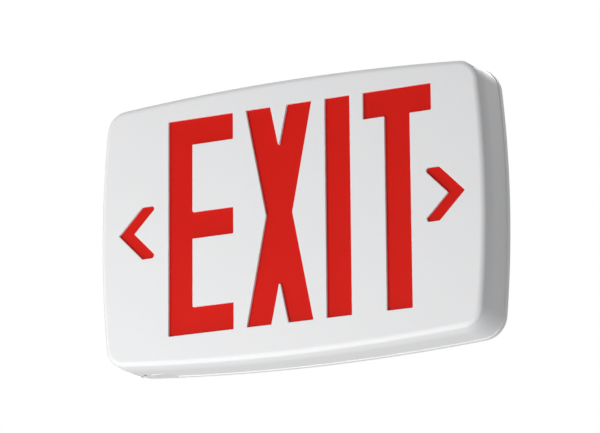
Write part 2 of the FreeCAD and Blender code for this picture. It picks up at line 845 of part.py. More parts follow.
def supply_terminal():
    """Three-way block: wire entries from above, screw wells from the front."""
    x, z = on_board(supply_place)
    front = driver_front + supply_height
    body = centred_block(x, z, supply_ways * supply_pitch, supply_breadth, driver_front, front)
    cuts = []
    for well_x, well_z in supply_wells():
        cuts.append(rod(well_x, well_z, front - supply_well_depth, front + 1, supply_well_radius))
        floor = driver_front + supply_entry_floor
        cuts.append(block(well_x - supply_entry_width / 2, well_x + supply_entry_width / 2, floor,
                          floor + supply_entry_height, z, z + supply_breadth))
    return body.cut(Part.makeCompound(cuts))


def terminal_screws():
    seat = driver_front + supply_height - supply_well_depth
    top = seat + supply_screw_height
    radius = supply_well_radius - supply_screw_fit
    screws = []
    for x, z in supply_wells():
        body = rod(x, z, seat, top, radius)
        slot = centred_block(x, z, 3 * radius, supply_slot, top - supply_slot_depth, top + 1)
        screws.append(body.cut(slot))
    return Part.makeCompound(screws)


def strip_socket():
    x, z = on_board(strip_socket_place)
    length, breadth, tall = strip_socket_size
    return centred_block(x, z, length, breadth, driver_front, driver_front + tall)


# ---------------------------------------------------------------- battery and leads
def battery_pack():
    """Three cells in one sleeve: a stick with a shallow waist between the cells."""
    start = at(battery_left, battery_depth, battery_z)
    stick = Part.makeCylinder(cell_radius, battery_length, start, RIGHT)
    ends = [e for e in stick.Edges if len(e.Vertexes) == 1]
    stick = stick.makeFillet(cell_corner, ends)
    waists = [Part.makeTorus(cell_radius + cell_waist_radius - cell_neck, cell_waist_radius,
                             at(battery_left + index * cell_length, battery_depth, battery_z), RIGHT)
              for index in range(1, cell_count)]
    return stick.cut(Part.makeCompound(waists))


def socket_box(wall_inset, bottom, top):
    """A box on the socket's axis, thinner than the socket by a wall on each side."""
    x = driver_left + socket_offset
    return block(x - socket_width / 2 + wall_inset, x + socket_width / 2 - wall_inset,
                 driver_front + wall_inset, driver_front + socket_height - wall_inset, bottom, top)


def battery_socket():
    body = socket_box(0, driver_top - socket_length, driver_top)
    mouth = socket_box(plug_wall, driver_top - plug_inserted - plug_fit, driver_top + 1)
    return body.cut(mouth)


def battery_plug():
    nose = driver_top - plug_inserted
    return socket_box(plug_wall + plug_fit, nose, nose + plug_length)


def battery_lead(side):
    """One conductor: up from the plug, behind both strips, and round into the battery's end."""
    x = driver_left + socket_offset - side * lead_spacing / 2
    start_depth = driver_front + socket_height / 2
    start_z = driver_top - plug_inserted + plug_length
    low_depth = floor_thickness + lead_floor_gap
    end_z = battery_z + side * lead_spacing
    points = [at(x, start_depth, start_z),
              at(x, start_depth, start_z + lead_start),
              at(x - lead_sway, low_depth, -strip_z / 2),
              at(x - lead_sway, low_depth, strip_z / 2),
              at(x, battery_depth, strip_z + strip_width / 2),
              at(x, battery_depth, end_z),
              at(battery_left, battery_depth, end_z)]
    return lead(points, lead_radius)


def strip_supply_lead():
    """Two conductors from the driver board up to the lower strip."""
    socket_x, socket_z = on_board(strip_socket_place)
    landing = -strip_z - strip_width / 2 + strip_lead_landing
    wires = []
    for side in (-1, 1):
        x = socket_x + side * lead_spacing / 2
        points = [at(x, driver_front + strip_socket_size[2], socket_z),
                  at(x, strip_front + strip_lead_rise, socket_z),
                  at(x, strip_front + 1.5 * strip_lead_rise, (socket_z + landing) / 2),
                  at(x, strip_front + strip_lead_rise, landing),
                  at(x, strip_front, landing)]
        wires.append(lead(points, strip_lead_radius))
    return Part.makeCompound(wires)


def strip_link_lead():
    """Two conductors from the lower strip to the upper one, bowed slightly forwards."""
    landing = strip_z - strip_width / 2 + strip_lead_landing
    half = [(0.0, 1.0), (0.55, 1.0), (0.9, 0.7), (1.0, 0.25)]
    wires = []
    for side in (-1, 1):
        x = strip_lead_x + side * lead_spacing / 2
        rising = [at(x, strip_front + strip_lead_bow * bow, -landing * share) for bow, share in half]
        falling = [Vector(p.x, p.y, -p.z) for p in reversed(rising)]
        wires.append(lead(rising + falling, strip_lead_radius))
    return Part.makeCompound(wires)


# ---------------------------------------------------------------- write the nodes
nodes = {
    "front_housing": front_housing(),
    "red_panel": red_panel(),
    "panel_retainers": panel_retainers(),
    "back_plate": back_plate(),
    "test_button": test_button(),
    "switch_plunger": switch_plunger(),
    "switch_body": switch_body(),
    "status_diode": status_diode(),
    "status_holder": status_holder(),
    "status_lens": status_lens(),
    "light_strip_upper": strip_board(strip_z),
    "light_strip_lower": strip_board(-strip_z),
    "strip_diodes_upper": strip_diodes(strip_z),
    "strip_diodes_lower": strip_diodes(-strip_z),
    "strip_resistors": strip_resistors(),
    "strip_screws": Part.makeCompound([screw(x, z, strip_front) for x, z in strip_screw_places()]),
    "driver_board": driver_board(),
    "driver_screws": Part.makeCompound([screw(x, z, driver_front) for x, z in driver_screw_places()]),
    "transformer_core": transformer_core(),
    "transformer_coil": transformer_coil(),
    "capacitors": capacitors(),
    "film_capacitor": board_case(film_place, film_size, film_corner),
    "transfer_relay": board_case(relay_place, relay_size, relay_corner),
    "diodes": axial_row(diode_row),
    "resistors": axial_row(resistor_row),
    "power_transistor": power_transistor(),
    "supply_terminal": supply_terminal(),
    "terminal_screws": terminal_screws(),
    "battery_pack": battery_pack(),
    "battery_socket": battery_socket(),
    "battery_plug": battery_plug(),
    "battery_lead_upper": battery_lead(1),
    "battery_lead_lower": battery_lead(-1),
    "strip_socket": strip_socket(),
    "strip_supply_lead": strip_supply_lead(),
    "strip_link_lead": strip_link_lead(),
}

os.makedirs("parts", exist_ok=True)
for name, shape in nodes.items():
    shape.exportStep(os.path.join("parts", name + ".step"))
    box = shape.BoundBox
    print("%-20s solids %2d  volume %9.1f  box x %.1f %.1f  y %.1f %.1f  z %.1f %.1f" % (
        name, len(shape.Solids), shape.Volume, box.XMin, box.XMax, box.YMin, box.YMax,
        box.ZMin, box.ZMax))
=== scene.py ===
# %% [markdown]
# # Emergency exit light
# This lesson dresses a wall-mounted exit light: a white moulded housing with a stencilled
# word and two arrows, a red panel behind it, and a back plate that carries the boards, the
# light strips and the battery. The solids come first, packed as a fixed frame in metres.
# X runs to the reader's right, Z runs up, and the face looks along -Y. Every size that a
# piece needs is read from those solids, so nothing has to be fitted by eye.

# %% Load the solids
import math

import bmesh
import bpy
from mathutils import Matrix, Vector


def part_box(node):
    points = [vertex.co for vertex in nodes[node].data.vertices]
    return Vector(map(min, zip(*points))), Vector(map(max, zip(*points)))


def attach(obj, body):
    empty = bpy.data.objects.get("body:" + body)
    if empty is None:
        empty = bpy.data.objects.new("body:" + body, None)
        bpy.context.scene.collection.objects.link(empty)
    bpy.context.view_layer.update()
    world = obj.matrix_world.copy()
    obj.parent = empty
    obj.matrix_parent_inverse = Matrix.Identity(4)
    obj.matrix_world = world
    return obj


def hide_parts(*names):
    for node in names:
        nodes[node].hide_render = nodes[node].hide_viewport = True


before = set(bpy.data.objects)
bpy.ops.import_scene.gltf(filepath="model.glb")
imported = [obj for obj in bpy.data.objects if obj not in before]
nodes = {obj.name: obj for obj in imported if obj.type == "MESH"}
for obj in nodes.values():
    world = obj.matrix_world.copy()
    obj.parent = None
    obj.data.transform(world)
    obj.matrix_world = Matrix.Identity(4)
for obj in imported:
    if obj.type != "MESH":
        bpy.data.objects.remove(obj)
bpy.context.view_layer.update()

# %% [markdown]
# ## Two small helpers
# An object shows its data, such as a mesh or a lamp, once it is linked to the scene, and a
# BMesh becomes a mesh by being written to one. Both happen all through this lesson.

# %% Define the two helpers
scene = bpy.context.scene


def placed(name, data):
    """An object in the scene that shows some data."""
    thing = bpy.data.objects.new(name, data)
    scene.collection.objects.link(thing)
    return thing


def mesh_from(work, name="helper"):
    """A mesh made from a BMesh, which is then freed."""
    mesh = bpy.data.meshes.new(name)
    work.to_mesh(mesh)
    work.free()
    return mesh


print("scene:", scene.name)

# %% [markdown]
# ## Camera
# The light hangs high on a wall, and the viewer stands below it and to its right. A long
# lens from 2.3 metres keeps the edges of the housing nearly parallel. The camera's matrix
# is built from three directions: where it looks from, its right side and its top.

# %% Make the camera
def direction(azimuth, elevation):
    """The direction from the object to a viewer, from two angles in degrees."""
    turn, rise = math.radians(azimuth), math.radians(elevation)
    return Vector((math.sin(turn) * math.cos(rise), -math.cos(turn) * math.cos(rise), math.sin(rise)))


aim = Vector((0.0096, -0.043, -0.0018))
view_distance = 2.321
back = direction(27.02, -14.28)
level = Vector((0, 0, 1)).cross(back).normalized()
roll = math.radians(-0.51)
tilt = Matrix.Rotation(roll, 3, back)
right, up = tilt @ level, tilt @ back.cross(level)
lens = bpy.data.cameras.new("camera")
lens.sensor_width = 36.0
lens.lens = 204.2
camera = placed("camera", lens)
turned_to_view = Matrix((right, up, back)).transposed().to_4x4()
camera.matrix_world = Matrix.Translation(aim + view_distance * back) @ turned_to_view
scene.camera = camera
print("camera at", [round(value, 3) for value in camera.matrix_world.translation])

# %% [markdown]
# ## A shorthand for nodes
# Materials and Geometry Nodes are both graphs. `Graph.add` makes one node: its type, then
# its settings, then its sockets. `Value` wraps an output, so that a plain Python sum such
# as `1 - mask * 0.3` becomes the Math nodes that it describes.

# %% Define the node shorthand
class Value:
    """A node's output that takes part in Python sums."""

    def __init__(self, graph, socket):
        self.graph = graph
        self.socket = socket

    def output(self, name):
        return Value(self.graph, self.socket.node.outputs[name])

    def maths(self, operation, first, second=0.0):
        return self.graph.add("ShaderNodeMath", {"operation": operation}, {0: first, 1: second})

    def __add__(self, other):
        return self.maths("ADD", self, other)

    def __sub__(self, other):
        return self.maths("SUBTRACT", self, other)

    def __rsub__(self, other):
        return self.maths("SUBTRACT", other, self)

    def __mul__(self, other):
        return self.maths("MULTIPLY", self, other)

    def __truediv__(self, other):
        return self.maths("DIVIDE", self, other)

    def __gt__(self, other):
        return self.maths("GREATER_THAN", self, other)

    def __lt__(self, other):
        return self.maths("LESS_THAN", self, other)

    def __abs__(self):
        return self.maths("ABSOLUTE", self)

    __radd__ = __add__


class Graph:
    """A node tree that is filled one node at a time."""

    def __init__(self, tree):
        self.tree = tree

    def add(self, kind, settings=None, sockets=None, output=0):
        node = self.tree.nodes.new(kind)
        for name, value in (settings or {}).items():
            if name == "stops":
                node.color_ramp.elements.remove(node.color_ramp.elements[1])
                node.color_ramp.elements[0].position, node.color_ramp.elements[0].color = value[0]
                for place, colour in value[1:]:
                    node.color_ramp.elements.new(place).color = colour
            else:
                setattr(node, name, value)
        for name, value in (sockets or {}).items():
            if isinstance(value, Value):
                self.tree.links.new(value.socket, node.inputs[name])
            else:
                node.inputs[name].default_value = value
        return Value(self, node.outputs[output]) if node.outputs else node


# %% [markdown]
# ## Light and background
# A plain white studio: an even grey surround gives the soft general light, and only
# the camera, reflections and clear parts see it as white. One large soft lamp stands in
# front, a little to the left and below, so the face is bright, the light falls off slowly
# over the rounded edges, and the stencil's left edges are dark. A second one below lights
# the underside. Lamps at the left, above and behind keep the other sides readable.

# %% Set the surround
scene.view_settings.view_transform = "Standard"
scene.world = bpy.data.worlds.new("studio")
scene.world.use_nodes = True
scene.world.node_tree.nodes.clear()
studio = Graph(scene.world.node_tree)
ray = studio.add("ShaderNodeLightPath")
seen = studio.add("ShaderNodeMath", {"operation": "MAXIMUM"}, {
    0: ray.output("Is Camera Ray"),
    1: ray.output("Is Glossy Ray") + ray.output("Is Transmission Ray")})
general = studio.add("ShaderNodeBackground", None, {"Color": (0.985, 0.99, 1.0, 1), "Strength": 0.32})
white = studio.add("ShaderNodeBackground", None, {"Color": (1, 1, 1, 1), "Strength": 1.0})
mixed = studio.add("ShaderNodeMixShader", None, {0: seen, 1: general, 2: white})
studio.add("ShaderNodeOutputWorld", None, {"Surface": mixed})
print("surround: white to the camera, grey to the object")

# %% Hang the lamps
def soft_lamp(name, towards, distance, size, power):
    """A square lamp that looks at the middle of the light."""
    lamp = bpy.data.lights.new(name, "AREA")
    lamp.size = size
    lamp.energy = power
    holder = placed(name, lamp)
    holder.location = towards.normalized() * distance
    holder.rotation_euler = towards.to_track_quat("Z", "Y").to_euler()


# Each lamp has its direction, its distance and size in metres, and its power in watts.
soft_lamp("key", Vector((-0.36, -0.86, -0.36)), 1.25, 0.9, 10.6)
soft_lamp("below", Vector((0.15, -0.2, -1.0)), 1.0, 0.8, 3.6)
soft_lamp("left", Vector((-1.0, -0.15, 0.0)), 1.2, 0.8, 2.5)
soft_lamp("top", Vector((-0.1, 0.1, 1.0)), 1.6, 1.0, 4.0)
soft_lamp("behind", Vector((0.05, 1.0, 1.0)), 1.8, 0.8, 17.0)
print("lamps: key, below, left, top, behind")

# %% [markdown]
# ## Floor
# The light hangs on a wall, so the floor lies far below it: a wide pale disc that closes
# the view from above. It has a faint cloudiness, as painted concrete has, and it is lifted
# to near white for the camera only, so that it throws no extra light at the object.

# %% Lay the floor
floor_radius, floor_height = 24.0, -3.2
disc = bmesh.new()
bmesh.ops.create_circle(disc, cap_ends=True, radius=floor_radius, segments=96)
bmesh.ops.translate(disc, verts=disc.verts, vec=(0, 0, floor_height))
floor_mesh = mesh_from(disc, "floor")
floor = placed("floor", floor_mesh)
paint = bpy.data.materials.new("floor_paint")
paint.use_nodes = True
paint.node_tree.nodes.clear()
graph = Graph(paint.node_tree)
place = graph.add("ShaderNodeTexCoord").output("Object")
cloud = graph.add("ShaderNodeTexNoise", None, {"Vector": place, "Scale": 1.5})
greys = [(0.3, (0.80, 0.80, 0.80, 1)), (0.7, (0.86, 0.86, 0.86, 1))]
shade = graph.add("ShaderNodeValToRGB", {"stops": greys}, {"Fac": cloud})
matt = graph.add("ShaderNodeBsdfDiffuse", None, {"Color": shade})
ray = graph.add("ShaderNodeLightPath").output("Is Camera Ray")
glow = graph.add("ShaderNodeEmission", None, {"Color": (1, 1, 1, 1), "Strength": ray * 0.68})
both = graph.add("ShaderNodeAddShader", None, {0: matt, 1: glow})
graph.add("ShaderNodeOutputMaterial", None, {"Surface": both})
floor_mesh.materials.append(paint)
print("floor at z =", floor_height)

# %% [markdown]
# ## Finishes
# Almost everything here is moulded plastic. A real moulding is never one flat colour: the
# pigment clouds a little, the steel mould leaves a fine grain, and the gloss varies with
# it. `Finish` builds that common ground from Object coordinates, which are in metres, so
# a grain of 0.3 mm is a noise of scale 1 / 0.0003. What is the same all over a surface is
# set on the shader's own socket. Each finish is filed under its own name.

# %% Define the common finish
finishes = {}


def mixed_colour(graph, mask, first, second):
    """One colour where the mask is 0 and the other where it is 1."""
    return graph.add("ShaderNodeMix", {"data_type": "RGBA"}, {0: mask, 6: first, 7: second}, output=2)


def tone(colour, factor=1.0):
    """A colour with its strength changed, as the four numbers of a socket."""
    return tuple(min(1.0, part * factor) for part in colour) + (1.0,)


class Finish:
    """A material with a clouded colour, a varying gloss and a fine grain.

    The grain is the size of its lumps and the depth their height, both in metres, and the
    cloud is the share by which the colour varies.
    """

    def __init__(self, name, colour, gloss, grain, depth, cloud, **constants):
        self.material = bpy.data.materials.new(name)
        self.material.use_nodes = True
        self.material.diffuse_color = tone(colour)
        self.graph = Graph(self.material.node_tree)
        self.shader = self.material.node_tree.nodes["Principled BSDF"]
        self.place = self.graph.add("ShaderNodeTexCoord").output("Object")
        self.broad = self.noise(0.03, 3)
        self.fine = self.noise(grain, 2)
        self.colour = mixed_colour(self.graph, self.broad, tone(colour, 1 - cloud), tone(colour, 1 + cloud))
        self.feed("Base Color", self.colour)
        self.feed("Roughness", gloss - 0.05 + self.fine * 0.1)
        self.bump = self.graph.add("ShaderNodeBump", None, {"Height": self.fine, "Distance": depth})
        self.feed("Normal", self.bump)
        for socket, value in constants.items():
            self.shader.inputs[socket.replace("_", " ")].default_value = value
        finishes[name] = self

    def noise(self, size, detail):
        """Cloudy noise whose lumps are about a size across, in metres."""
        settings = {"Vector": self.place, "Scale": 1 / size, "Detail": detail}
        return self.graph.add("ShaderNodeTexNoise", None, settings)

    def feed(self, socket, value):
        self.graph.tree.links.new(value.socket, self.shader.inputs[socket])

    def recolour(self, mask, colour):
        """Lay a colour over the surface where a mask is 1."""
        self.colour = mixed_colour(self.graph, mask, self.colour, tone(colour))
        self.feed("Base Color", self.colour)

    def raise_by(self, height, distance):
        """Add a second relief on top of the grain."""
        self.bump = self.graph.add("ShaderNodeBump", None,
                                   {"Height": height, "Distance": distance, "Normal": self.bump})
        self.feed("Normal", self.bump)

    def axis(self, name):
        """The place along X, Y or Z in metres."""
        return self.graph.add("ShaderNodeSeparateXYZ", None, {0: self.place}).output(name)

    def lines(self, axis, pitch, share):
        """A mask of thin lines across an axis, a share of the pitch wide."""
        part = self.axis(axis) / pitch
        return part.maths("FRACT", part) < share


print("finish ready")

# %% [markdown]
# ### The white mouldings
# The housing and its back plate are white ABS with a fine spark-eroded texture, which
# softens the reflections without looking rough. The plate is the same plastic from another
# batch, a touch warmer. The red sheet is satin acrylic, with slow waves in its surface, and
# a low specular level keeps its colour deep.

# %% Mix the mouldings and the red sheet
Finish("housing_white", (0.83, 0.832, 0.838), 0.47, 0.00035, 0.000012, 0.012, Specular_IOR_Level=0.22)
Finish("plate_white", (0.82, 0.818, 0.81), 0.48, 0.0004, 0.000014, 0.015)
Finish("button_white", (0.8, 0.8, 0.8), 0.36, 0.0003, 0.000008, 0.02)
red = Finish("panel_red", (0.66, 0.008, 0.003), 0.44, 0.0006, 0.00002, 0.05, Specular_IOR_Level=0.12)
red.raise_by(red.noise(0.02, 1), 0.0001)
print("mouldings:", list(finishes))

# %% [markdown]
# ### Boards
# The circuit boards are glass laminate under a green lacquer. Copper tracks show through
# it as slightly lighter, slightly raised lines, and bare tinned pads as small bright dots.
# A brick pattern laid on the board's own plane gives tracks that run square to each other,
# and a cell pattern scatters the pads.

# %% Mix the board lacquer
board = Finish("board_green", (0.035, 0.22, 0.10), 0.34, 0.0005, 0.000008, 0.08, Coat_Weight=0.2)
flat = board.graph.add("ShaderNodeMapping", None,
                       {"Vector": board.place, "Rotation": (math.radians(90), 0, 0)})
brick = board.graph.add("ShaderNodeTexBrick", {"offset": 0.37, "squash": 1.7, "squash_frequency": 3}, {
    "Vector": flat, "Color1": (0, 0, 0, 1), "Color2": (0, 0, 0, 1), "Mortar": (1, 1, 1, 1),
    "Scale": 1.0, "Mortar Size": 0.00035, "Mortar Smooth": 0.2, "Brick Width": 0.011, "Row Height": 0.0032})
tracks = brick.output("Fac")
board.recolour(tracks * 0.55, (0.10, 0.40, 0.18))
board.raise_by(tracks, 0.00005)
cells = board.graph.add("ShaderNodeTexVoronoi", {"feature": "F1"},
                        {"Vector": board.place, "Scale": 260.0, "Randomness": 0.6})
pads = cells < 0.17
board.recolour(pads, (0.72, 0.72, 0.70))
board.feed("Metallic", pads * 0.9)
print("board lacquer with tracks and pads")

# %% [markdown]
# ### Metals
# Zinc-plated screws, sprung washers and the transformer's sheets are metal with fine
# scratches: noise stretched along one axis, which breaks up the gloss. The sheets have a
# bluish mill scale with darker, browner patches.

# %% Mix the metals
def metal(name, colour, gloss, stretch=(1, 1, 8)):
    """A metal finish with scratches along one axis."""
    made = Finish(name, colour, gloss, 0.0004, 0.000006, 0.08, Metallic=1.0)
    along = made.graph.add("ShaderNodeMapping", None, {"Vector": made.place, "Scale": stretch})
    streaks = made.graph.add("ShaderNodeTexNoise", None, {"Vector": along, "Scale": 900.0, "Detail": 3.0})
    made.feed("Roughness", gloss - 0.1 + streaks * 0.22)
    made.raise_by(streaks, 0.000006)
    return made


metal("screw_zinc", (0.66, 0.66, 0.63), 0.3)
metal("retainer_steel", (0.56, 0.56, 0.55), 0.28, (8, 1, 1))
core = metal("core_steel", (0.33, 0.34, 0.37), 0.42, (1, 12, 1))
core.recolour(core.noise(0.004, 4) > 0.62, (0.24, 0.20, 0.17))
print("metals mixed")

# %% [markdown]
# ### Components
# Each kind of component has its own skin: black moulding compound with a matt grain,
# green and ivory connector nylon, an amber relay case, dipped epoxy with a wavy surface,
# wound polyester tape with the edges of its turns, and soft wire insulation.

# %% Mix the component skins
Finish("component_black", (0.028, 0.028, 0.03), 0.5, 0.00025, 0.00001, 0.15)
Finish("terminal_green", (0.06, 0.30, 0.15), 0.4, 0.0003, 0.000008, 0.05)
Finish("connector_ivory", (0.78, 0.75, 0.66), 0.38, 0.0003, 0.000006, 0.03, Subsurface_Weight=0.05)
Finish("relay_case", (0.70, 0.30, 0.06), 0.34, 0.0003, 0.000006, 0.04)
dipped = Finish("film_red", (0.42, 0.085, 0.05), 0.22, 0.0008, 0.00001, 0.08, Coat_Weight=0.4)
dipped.raise_by(dipped.noise(0.004, 1), 0.0003)
tape = Finish("coil_tape", (0.72, 0.56, 0.09), 0.3, 0.0006, 0.00001, 0.06, Coat_Weight=0.3)
turns = tape.lines("Z", 0.0024, 0.1)
tape.recolour(turns * 0.6, (0.42, 0.30, 0.05))
tape.raise_by(1 - turns, 0.00008)
for name, colour in (("lead_red", (0.52, 0.02, 0.015)), ("lead_black", (0.03, 0.03, 0.032))):
    wire = Finish(name, colour, 0.36, 0.0004, 0.000006, 0.08)
    wire.raise_by(wire.noise(0.0025, 2), 0.00006)
print("skins:", len(finishes))

# %% [markdown]
# ### Sleeves, lenses and colour bands
# The battery's heat-shrunk sleeve puckers where it bridges two cells. The capacitor cans
# wear a dark sleeve with one pale stripe, and their ends are bare aluminium: the mask
# comes from which way a face looks. A resistor's bands are stripes across its length, so
# they are laid out from the middle of its solid.

# %% Mix the sleeves and the lenses
sleeve = Finish("battery_sleeve", (0.10, 0.27, 0.47), 0.24, 0.0006, 0.000006, 0.06, Coat_Weight=0.5)
battery_low, battery_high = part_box("battery_pack")
third = (battery_high.x - battery_low.x) / 3
cell = (sleeve.axis("X") - battery_low.x) / third
smooth_share, steepness = 0.86, 7.0
pucker = (abs(cell.maths("FRACT", cell) - 0.5) * 2.0 - smooth_share) * steepness
pucker = pucker.maths("MAXIMUM", pucker, 0.0)
crease = sleeve.graph.add("ShaderNodeMapping", None, {"Vector": sleeve.place, "Scale": (0.25, 1, 1)})
creases = sleeve.graph.add("ShaderNodeTexNoise", None, {"Vector": crease, "Scale": 700.0, "Detail": 2.0})
sleeve.raise_by(creases * (pucker + 0.08), 0.0006)
sleeve.recolour(pucker * 0.25, (0.05, 0.15, 0.30))

can = Finish("can_sleeve", (0.035, 0.04, 0.075), 0.28, 0.0005, 0.000006, 0.1, Coat_Weight=0.4)
facing = can.graph.add("ShaderNodeNewGeometry").output("Normal")
looks = can.graph.add("ShaderNodeSeparateXYZ", None, {0: facing})
stripe_facing, end_facing = 0.93, -0.8
can.recolour(looks.output("X") > stripe_facing, (0.62, 0.64, 0.66))
bare = looks.output("Y") < end_facing
can.recolour(bare, (0.74, 0.74, 0.75))
can.feed("Metallic", bare)

Finish("diode_red", (0.50, 0.02, 0.015), 0.12, 0.001, 0.000004, 0.08,
       Coat_Weight=0.6, Transmission_Weight=0.25)
Finish("lens_smoke", (0.02, 0.018, 0.02), 0.12, 0.001, 0.000004, 0.1, Coat_Weight=0.5)
print("sleeves and lenses mixed")

# %% Mix the banded resistor lacquer
tinned_colour = (0.70, 0.70, 0.68)
banded = Finish("resistor_tan", (0.60, 0.44, 0.27), 0.3, 0.0005, 0.00001, 0.05, Coat_Weight=0.4)
low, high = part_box("resistors")
along = banded.axis("Z") - (low.z + high.z) / 2
bands = [(-0.0022, (0.25, 0.09, 0.03)), (-0.0011, (0.02, 0.02, 0.02)),
         (0.0, (0.45, 0.03, 0.02)), (0.0021, (0.55, 0.38, 0.10))]
half_band, half_body = 0.0003, 0.00325
for offset, colour in bands:
    banded.recolour(abs(along - offset) < half_band, colour)
legs = abs(along) > half_body
banded.recolour(legs, tinned_colour)
banded.feed("Metallic", legs)
print("finishes in all:", len(finishes))

# %% [markdown]
# ## Two node trees for the shapes
# Two rules cover most of this object. The first: *a section swept along a path*. A housing
# wall, the edge of a stencilled letter and a turned screw head are all a cross-section
# carried round a closed line. Each corner of the section keeps its own rounding in the
# curve point's radius, and Fillet Curve rounds it. The sweep is worked out lying down,
# with depth along Z, and the tree stands it up at its end.

# %% Build the sweeping tree
def new_tree(name, inputs):
    """A Geometry Nodes group with named inputs and one geometry output."""
    tree = bpy.data.node_groups.new(name, "GeometryNodeTree")
    for label, kind in inputs:
        tree.interface.new_socket(name=label, in_out="INPUT", socket_type=kind)
    tree.interface.new_socket(name="Geometry", in_out="OUTPUT", socket_type="NodeSocketGeometry")
    graph = Graph(tree)
    return tree, graph, graph.add("NodeGroupInput")


def close_tree(graph, given, geometry):
    """Give the geometry its material and send it out of the tree."""
    geometry = graph.add("GeometryNodeSetMaterial", None,
                         {"Geometry": geometry, "Material": given.output("Material")})
    graph.add("NodeGroupOutput", None, {"Geometry": geometry})


weld = 0.000002    # points closer together than this are one point
sweep, graph, given = new_tree("section_along_path", [
    ("Geometry", "NodeSocketGeometry"), ("Path", "NodeSocketObject"), ("Section", "NodeSocketObject"),
    ("Corner Steps", "NodeSocketInt"), ("Material", "NodeSocketMaterial")])
path = graph.add("GeometryNodeObjectInfo", None, {"Object": given.output("Path")}).output("Geometry")
path = graph.add("GeometryNodeSetCurveNormal", {"mode": "Z_UP"}, {"Curve": path})
section = graph.add("GeometryNodeObjectInfo", None, {"Object": given.output("Section")}).output("Geometry")
rounding = graph.add("GeometryNodeInputRadius")
section = graph.add("GeometryNodeFilletCurve", {"mode": "POLY"}, {
    "Curve": section, "Count": given.output("Corner Steps"), "Radius": rounding})
swept = graph.add("GeometryNodeCurveToMesh", None, {"Curve": path, "Profile Curve": section})
swept = graph.add("GeometryNodeMergeByDistance", None, {"Geometry": swept, "Distance": weld})
swept = graph.add("GeometryNodeTransform", None, {"Geometry": swept, "Rotation": (math.radians(90), 0, 0)})
swept = graph.add("GeometryNodeSetShadeSmooth", None, {"Geometry": swept})
swept = graph.add("GeometryNodeRealizeInstances", None, {"Geometry": swept})
close_tree(graph, given, swept)
print("tree:", sweep.name)

# %% [markdown]
# The second rule: *the same piece at many places*. Diodes, screws, clips, chips and the
# transformer's sheets are copies of one finished piece on a list of points. A seeded
# random turn stops screw heads from all lining up, as no assembler leaves them so. Realize
# Instances makes the copies real faces.

# %% Build the copying tree
copying, graph, given = new_tree("piece_at_places", [
    ("Geometry", "NodeSocketGeometry"), ("Piece", "NodeSocketObject"), ("Largest Turn", "NodeSocketFloat"),
    ("Seed", "NodeSocketInt"), ("Material", "NodeSocketMaterial")])
piece = graph.add("GeometryNodeObjectInfo", None, {"Object": given.output("Piece"), "As Instance": True})
turn = graph.add("FunctionNodeRandomValue", {"data_type": "FLOAT"}, {
    "Min": 0.0 - given.output("Largest Turn"), "Max": given.output("Largest Turn"),
    "Seed": given.output("Seed")}, output="Value")
turn = graph.add("ShaderNodeCombineXYZ", None, {"Y": turn})
copies = graph.add("GeometryNodeInstanceOnPoints", None, {
    "Points": given.output("Geometry"), "Instance": piece.output("Geometry"), "Rotation": turn})
copies = graph.add("GeometryNodeRealizeInstances", None, {"Geometry": copies})
close_tree(graph, given, copies)
print("tree:", copying.name)

# %% [markdown]
# ### Helpers that run a tree
# A modifier's inputs are set by their socket's identifier before the object is evaluated.
# The result is turned into a plain mesh, and the helpers that fed it are thrown away.

# %% Define how a tree is run
helpers = []


def curve_of(loops, closed=True):
    """A helper curve of straight runs; each point is (x, y, rounding)."""
    data = bpy.data.curves.new("helper", "CURVE")
    data.dimensions = "3D"
    for loop in loops:
        spline = data.splines.new("POLY")
        spline.points.add(len(loop) - 1)
        for point, (x, y, rounding) in zip(spline.points, loop):
            point.co = (x, y, 0, 1)
            point.radius = rounding
        spline.use_cyclic_u = closed
    made = placed("helper", data)
    helpers.append(made)
    return made


def section_of(corners):
    """A helper section; each corner is (depth, distance outwards, rounding)."""
    return curve_of([[(out, -place, rounding) for place, out, rounding in corners]], closed=False)


def evaluated(thing):
    """A plain mesh of an object with its modifiers worked out."""
    bpy.context.view_layer.update()
    depsgraph = bpy.context.evaluated_depsgraph_get()
    return bpy.data.meshes.new_from_object(thing.evaluated_get(depsgraph))


def used_up(host, tools=()):
    """The host's evaluated mesh, once the host and its tools are thrown away."""
    mesh = evaluated(host)
    for thing in (host, *tools):
        bpy.data.objects.remove(thing)
    return mesh


def run_tree(tree, inputs, points=()):
    """The plain mesh that a tree makes, from its named inputs and its starting points."""
    data = bpy.data.meshes.new("helper")
    data.from_pydata(points, [], [])
    host = placed("helper", data)
    modifier = host.modifiers.new("tree", "NODES")
    modifier.node_group = tree
    for item in tree.interface.items_tree:
        if item.in_out == "INPUT" and item.name in inputs:
            modifier[item.identifier] = inputs[item.name]
    mesh = used_up(host, helpers)
    helpers.clear()
    return mesh


def swept_mesh(loops, section, steps, finish):
    """The mesh of a section swept along closed loops; steps says how fine a rounding is."""
    return run_tree(sweep, {"Path": curve_of(loops), "Section": section_of(section),
                            "Corner Steps": steps, "Material": finishes[finish].material})


def tidied(mesh, merge=weld):
    """The mesh with its doubles merged and its faces turned outwards."""
    work = bmesh.new()
    work.from_mesh(mesh)
    bmesh.ops.remove_doubles(work, verts=work.verts, dist=merge)
    bmesh.ops.recalc_face_normals(work, faces=work.faces)
    work.to_mesh(mesh)
    work.free()
    return mesh


print("helpers ready")
